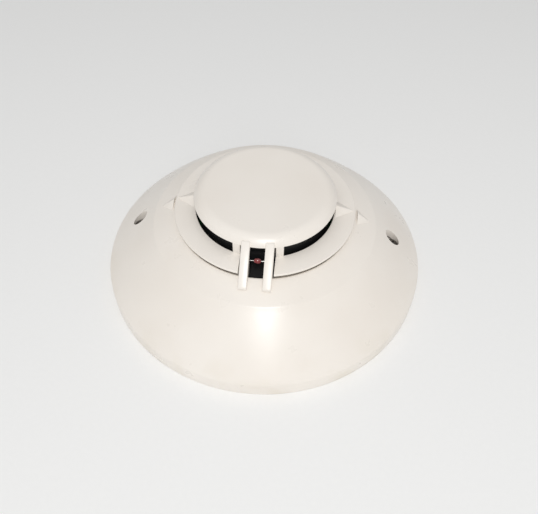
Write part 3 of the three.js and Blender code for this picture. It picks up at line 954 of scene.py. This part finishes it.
@dataclass
class DetectorCover:
    """Collar, cap, posts and the two ribs of the cage, moulded in one."""

    collar_radius: float = 42.3
    collar_lift: float = 1.8
    edge: float = 1.2
    rise: float = 0.4
    neck_radius: float = SIZES.head_radius
    plateau_top: float = SIZES.plateau_top
    cap_radius: float = SIZES.cap_radius
    cap_low: float = SIZES.cap_low
    cap_top: float = SIZES.cap_top
    shoulder: float = 6.5
    rib_gap: float = 3.3
    rib: float = 3.8
    foot_reach: float = 47.3

    def __post_init__(self) -> None:
        """Works out what follows from the fields."""
        self.bottom = SIZES.rim_top + 0.3
        self.collar_low = self.plateau_top + self.collar_lift
        self.collar_top = self.collar_low + self.edge + self.rise
        self.inner_radius = self.cap_radius - 0.6
        self.notch_half = self.rib_gap + self.rib + 0.6
        depth = self.cap_top - self.cap_low
        self.shoulder_start = math.degrees(math.asin((self.shoulder - depth) / self.shoulder))

    def shoulder_point(self, degrees: float) -> Pair:
        """A point of the cap's broad shoulder, from its flat top at 90 degrees down to its lower edge."""
        middle = self.cap_radius - self.shoulder * math.cos(math.radians(self.shoulder_start))
        turn = math.radians(degrees)
        return middle + self.shoulder * math.cos(turn), self.cap_top - self.shoulder * (1 - math.sin(turn))

    def collar(self) -> Piece:
        """The sloping collar on its neck, with the spigot that plugs into the housing."""
        low, edge_top = self.collar_low, self.collar_low + self.edge
        lip = self.edge / 2
        outline = [
            (34.9, self.bottom - 4.0),
            (36.1, self.bottom - 4.0),
            (36.3, self.bottom - 3.8),
            (36.3, self.bottom),
            (self.neck_radius, self.bottom),
            (self.neck_radius, low - 1.4),
            (self.neck_radius + 0.4, low - 0.9),
            *arc((self.collar_radius - lip, edge_top - lip), lip, -80, 84, 8),
            (self.inner_radius + 4.0, self.collar_top - 0.16),
            *arc((self.inner_radius + 0.4, self.collar_top - 0.4), 0.4, 88, 180, 5),
            (self.inner_radius, self.collar_top - 2.0),
            (34.9, self.collar_top - 2.6),
        ]
        return revolved("collar", outline, 224)

    def cap(self) -> Piece:
        """The domed cap with its hanging rim."""
        inside = self.cap_radius - SIZES.cap_wall
        ceiling = self.cap_top - SIZES.cap_wall
        flat = self.shoulder_point(90)[0]
        steps = 16
        outline = [
            (0.0, self.cap_top + SIZES.crown),
            (flat * 0.3, self.cap_top + SIZES.crown * 0.94),
            (flat * 0.6, self.cap_top + SIZES.crown * 0.7),
            (flat * 0.85, self.cap_top + SIZES.crown * 0.3),
            *(self.shoulder_point(90 - (88 - self.shoulder_start) * i / steps) for i in range(steps + 1)),
            (self.cap_radius - 0.3, self.cap_low),
            (inside + 0.3, self.cap_low),
            (inside, self.cap_low + 0.3),
            (inside - self.shoulder / 2, ceiling),
            (0.0, ceiling),
        ]
        return revolved("cap", outline, 224)

    def cage_rib(self) -> Piece:
        """One rib of the cage, on edge, from the cap's edge to its foot over the flange."""
        foot = FlangedBase().plateau_at(self.foot_reach) + 0.4
        crest, height = self.shoulder_point(50)
        outline = [
            (self.cap_radius - SIZES.cap_wall + 0.4, self.cap_low + 0.6),
            (crest - 0.6, height - 1.0),
            (crest, height - 0.1),
            (crest + 1.0, height - 0.35),
            (self.foot_reach - 0.2, foot + 1.7),
            (self.foot_reach, foot + 0.9),
            (self.foot_reach - 0.3, foot),
            (SIZES.well_radius + 1.2, self.plateau_top + 0.4),
            (SIZES.well_radius + 0.2, self.plateau_top + 0.4),
            (SIZES.well_radius - 1.6, self.plateau_top - 1.2),
            (self.neck_radius, self.bottom),
            (SIZES.housing_inner, self.bottom),
            (SIZES.housing_inner, self.bottom + 1.6),
            (self.neck_radius - 0.4, self.bottom + 2.4),
            (self.cap_radius + 1.2, self.cap_low - 3.0),
        ]
        half = self.rib / 2
        return prism("rib", outline, -half, half, axis="X", edge=0.35)

    def post(self, start: float, end: float) -> Piece:
        """A post that carries the cap on the collar."""
        inner = self.cap_radius - SIZES.cap_wall
        levels = self.collar_top - 1.6, self.cap_low + 0.6
        return sector("post", (inner, self.cap_radius), (start, end), levels, 0.2)

    def build(self) -> None:
        """Builds the cover as one closed moulding."""
        cover = self.collar()
        broad = self.inner_radius + 0.4, self.collar_top
        tip = self.collar_radius - 0.9, self.collar_low + self.edge
        marks = [spun(FlangedBase.pointer(broad, tip, 11.0), a) for a in (0, 180)]
        combine(cover, Join.ADD, marks)
        notch, gap = self.notch_half, self.rib_gap
        cuts = [
            block("notch", (-notch, -60, self.bottom + 1.6), (notch, -20, self.cap_low)),
            block("below", (-notch, -60, self.bottom - 5), (notch, -20, self.bottom)),
            block("leads", (-notch, -36.0, self.bottom - 1), (notch, -20, self.bottom + 2)),
            block("sill", (-gap, -60, self.bottom - 5), (gap, -20, self.cap_low)),
        ]
        combine(cover, Join.CUT, cuts)
        centre = self.rib_gap + self.rib / 2
        ribs = [moved(self.cage_rib(), (s * centre, 0, 0)) for s in (-1, 1)]
        middle = (self.cap_radius + self.inner_radius) / 2
        near, far = (math.degrees(math.asin(half / middle)) for half in (notch, notch + 3.3))
        posts = [self.post(-90 + near, -90 + far), self.post(-90 - far, -90 - near)]
        posts += [self.post(a - 3, a + 3) for a in (0, 60, 120, 180)]
        combine(cover, Join.ADD, [self.cap(), *posts, *ribs])
        cover.name = "head_cover"
        place(dress(cover, Finish.IVORY), "cover", ["detector_cover"], "ivory_plastic")


@dataclass
class Thermistor:
    """The glass bead between the ribs and its two leads."""

    radius: float = 1.15
    length: float = 3.4
    wire: float = 0.28
    offset: float = 4.2
    reach: float = SIZES.cap_radius + 1.2
    height: float = SIZES.cap_low - 6.8
    foot: float = SIZES.parts_floor

    def bead(self) -> None:
        """The bead: an egg-shaped drop of glass, drawn out towards each lead."""
        half = self.length / 2
        outline = []
        for i in range(25):
            t = math.pi * i / 24
            outline.append((self.radius * math.sin(t) ** 0.8 if 0 < i < 24 else 0.0, half * math.cos(t)))
        bead = revolved("glass_bead", outline, 40)
        bead.data.transform(Matrix.Rotation(math.pi / 2, 4, "Y"))
        moved(bead, (0, -self.reach, self.height))
        place(dress(bead, Finish.BEAD, 80), "head", ["thermistor_bead"], "bead_glass")

    def lead(self, side: str, sign: int) -> None:
        """A lead: out of the bead sideways, then down to the board."""
        start = sign * (self.length / 2 - 0.25)
        side_x, y = sign * self.offset, -self.reach
        points = [(start, y, self.height), (side_x, y, self.height), (side_x, y, self.foot)]
        lead = piece_from(f"bead_lead_{side}", points, [(0, 1), (1, 2)], [])
        RECIPES.run(Recipe.WIRE, lead, Wire_radius=self.wire * MM, Bend_radius=1.2 * MM, Sides=12)
        outward(lead)
        place(dress(lead, Finish.TIN, 60), "head", [f"thermistor_lead_{side}"], "tinned_metal")

    def build(self) -> None:
        """Builds the bead and both leads."""
        self.bead()
        self.lead("left", -1)
        self.lead("right", 1)


@dataclass(frozen=True)
class Screw:
    """A pan-head screw with a cross recess and a rolled thread."""

    seat: float  # height of the head's underside
    head: float  # the head's radius
    height: float  # how tall the head is
    shank: float  # radius over the thread
    tip: float  # height of the shank's end

    def build(self, name: str) -> Piece:
        """Builds the closed screw with its thread on the Z axis, head up."""
        seat, head, height, tip = self.seat, self.head, self.height, self.tip
        top = seat + height
        core = self.shank * 0.82
        outline = [
            (0.0, top),
            (head * 0.45, top - height * 0.04),
            (head * 0.8, top - height * 0.16),
            *arc((head - height * 0.3, top - height * 0.52), height * 0.3, 60, -10, 5),
            (head, seat + 0.12),
            (head - 0.12, seat),
            (core, seat),
            (core, tip + 0.5),
            (core * 0.6, tip),
            (0.0, tip),
        ]
        made = revolved(name, outline, 40)
        long, thin, depth = head * 0.52, head * 0.12, top - height * 0.6
        arms = ((long, thin), (thin, long))
        combine(made, Join.CUT, [block("arm", (-x, -y, depth), (x, y, top + 1)) for x, y in arms])
        length = seat - tip - 1.2
        return RECIPES.run(
            Recipe.THREAD,
            made,
            Shank_radius=(self.shank - 0.22) * MM,
            Length=length * MM,
            Turns=length / (self.shank * 0.42),
            Ridge=0.2 * MM,
            Bottom=(0.0, 0.0, (tip + 0.6) * MM),
        )


class Screws:
    """Every screw of the detector."""

    ceiling = Screw(seat=16.8, head=3.3, height=2.4, shank=1.7, tip=0.8)
    terminal = Screw(seat=5.8, head=2.9, height=2.2, shank=1.6, tip=0.8)
    board = Screw(seat=SIZES.parts_floor, head=2.2, height=1.6, shank=0.9, tip=14.0)
    board_ring = SIZES.shroud_radius - 1.3 - 5.0

    def build(self) -> None:
        """Builds the fixing, terminal and board screws."""
        for side, sign in (("left", -1), ("right", 1)):
            screw = spun(self.ceiling.build(f"ceiling_screw_{side}"), 35)
            moved(screw, (sign * SIZES.fixing_offset, 0, 0))
            # The fixing screws take the zinc with painted shade, for their place deep in the fixing holes.
            place(dress(screw, Finish.SHADED_ZINC, 40), "base", [f"fixing_screw_{side}"], "zinc_steel")
        first = moved(self.terminal.build("clamp_screws"), (SIZES.terminal_ring, 0, 0))
        pair = RECIPES.ring(first, 2, 60, 60)
        both = merged("clamp_screws_set", [pair, spun(pair, 180, copy=True)])
        nodes = [f"terminal_screw_{i}" for i in range(1, 5)]
        place(dress(both, Finish.ZINC, 40), "base", nodes, "zinc_steel")
        held = RECIPES.ring(moved(self.board.build("board_screws"), (self.board_ring, 0, 0)), 3, 90, 120)
        place(dress(held, Finish.ZINC, 40), "head", [f"board_screw_{i}" for i in range(1, 4)], "zinc_steel")


@dataclass
class Insides:
    """The shroud behind the air slots, and the finishes of what stays as the frame has it."""

    radius: float = SIZES.shroud_radius
    top: float = SIZES.shroud_top
    foot: float = SIZES.parts_floor
    wall: float = 1.3

    def shroud(self) -> None:
        """The black shroud, smooth all round."""
        inner = self.radius - self.wall
        outline = [
            (inner, self.foot),
            (self.radius, self.foot),
            *arc((self.radius - 1.0, self.top - 1.0), 1.0, 0, 90, 6),
            (0.0, self.top),
            (0.0, self.top - self.wall),
            (inner - 0.6, self.top - self.wall),
            (inner, self.top - self.wall - 0.6),
        ]
        shroud = revolved("chamber_shroud", outline, 128)
        place(dress(shroud, Finish.BLACK), "head", ["inner_shroud"], "black_plastic")

    def finishes(self) -> None:
        """Dresses each frame node that is still shown."""
        by_slot = {
            "ivory_plastic": Finish.IVORY,
            "black_plastic": Finish.BLACK,
            "dial_plastic": Finish.DIAL,
            "capacitor_sleeve": Finish.SLEEVE,
            "zinc_steel": Finish.ZINC,
            "brass_sheet": Finish.BRASS,
            "tinned_metal": Finish.TIN,
            "board_laminate": Finish.LAMINATE,
            "bead_glass": Finish.BEAD,
            "clear_acrylic": Finish.ACRYLIC,
            "reed_glass": Finish.TUBE,
            "led_lens": Finish.LENS,
        }
        for part in frame["record"]["subparts"]:
            node = frame["nodes"][part["node"]]
            finish = by_slot[part["material_slot"]]
            if part["node"] in ("microcontroller", "surge_suppressor"):
                finish = Finish.CHIP
            material = SHELF.get(finish)
            for slot in node.material_slots:
                slot.material = material

    def build(self) -> None:
        """Builds the shroud and dresses the frame's nodes."""
        self.finishes()
        self.shroud()


# ---- studio ----


@dataclass
class Studio:
    """Camera, floor and light."""

    azimuth: float = 5.2
    elevation: float = 50.36
    distance: float = 300.0
    lens_mm: float = 38.54
    yaw: float = 0.43
    pitch: float = 0.05
    roll: float = -0.58

    def camera(self) -> None:
        """Stands the camera at the viewing angle, turned and rolled a little."""
        e, a = math.radians(self.elevation), math.radians(self.azimuth)
        yaw, pitch, roll = (math.radians(v) for v in (self.yaw, self.pitch, self.roll))
        basis = Matrix(((1, 0, 0), (0, math.sin(e), math.cos(e)), (0, math.cos(e), -math.sin(e))))
        stand = Matrix.Rotation(a, 3, "Z") @ basis.transposed()
        turns = ((yaw, "Y"), (-pitch, "X"), (-roll, "Z"))
        axes = stand.copy()
        for angle, axis in turns:
            axes = axes @ Matrix.Rotation(angle, 3, axis)
        data = bpy.data.cameras.new("camera")
        data.lens = self.lens_mm
        data.clip_start, data.clip_end = 0.02, 20.0
        camera = linked("camera", data)
        world = Matrix((axes.col[0], axes.col[1], -axes.col[2])).transposed().to_4x4()
        world.translation = -stand.col[2] * self.distance * MM
        camera.matrix_world = world
        bpy.context.scene.camera = camera

    def floor(self) -> None:
        """A pale floor under the detector."""
        size = 4000.0
        corners = [(x * size, y * size, -0.02) for x, y in ((-1, -1), (1, -1), (1, 1), (-1, 1))]
        floor = piece_from("floor", corners, [], [(0, 1, 2, 3)])
        floor.data.materials.append(SHELF.get(Finish.PAPER))

    def lamp(self, name: str, turn: Pair, distance: float, size: Pair, watts: float) -> None:
        """A soft lamp aimed at the detector.

        Args:
            name: the lamp's name.
            turn: degrees round from the front, positive to the right, and degrees above the floor.
            distance: how far off it stands, in metres.
            size: its width and its height in metres.
            watts: its power.
        """
        data = bpy.data.lights.new(name, "AREA")
        data.shape = "RECTANGLE"
        data.size, data.size_y = size
        data.energy = watts
        lamp = linked(name, data)
        a, e = (math.radians(v) for v in turn)
        back = Vector((math.sin(a) * math.cos(e), -math.cos(a) * math.cos(e), math.sin(e)))
        lamp.location = back * distance
        lamp.rotation_mode = "QUATERNION"
        lamp.rotation_quaternion = (-back).to_track_quat("-Z", "Y")

    def light(self) -> None:
        """White surroundings, a soft key beside the camera and a large top light."""
        world = bpy.data.worlds.new("surroundings")
        world.use_nodes = True
        world.node_tree.nodes.clear()
        wired = {"Color": linear("#FFFFFF"), "Strength": 0.45}
        sky = add_node(world.node_tree, "ShaderNodeBackground", wired)
        add_node(world.node_tree, "ShaderNodeOutputWorld", {"Surface": sky.outputs[0]})
        bpy.context.scene.world = world
        self.lamp("key", (7, 52), 1.2, (0.16, 0.5), 5.6)
        self.lamp("strip", (8, 38), 1.2, (0.07, 0.5), 0.9)
        self.lamp("top", (-20, 84), 1.6, (1.6, 1.6), 2.5)
        view = bpy.context.scene.view_settings
        view.view_transform = "Standard"
        view.look = "None"
        view.exposure = 0.0
        view.gamma = 1.0

    def build(self) -> None:
        """Sets up the camera, the floor and the light."""
        self.camera()
        self.floor()
        self.light()


def main() -> None:
    """Builds the studio and then the detector, from the ceiling out."""
    logging.basicConfig(level=logging.INFO, format="%(name)s %(message)s")
    for assembly in (Studio(), Insides(), FlangedBase(), Screws(), Thermistor(), DetectorCover()):
        assembly.build()
        log.info("%s is done", type(assembly).__name__)


if __name__ == "__main__":
    main()
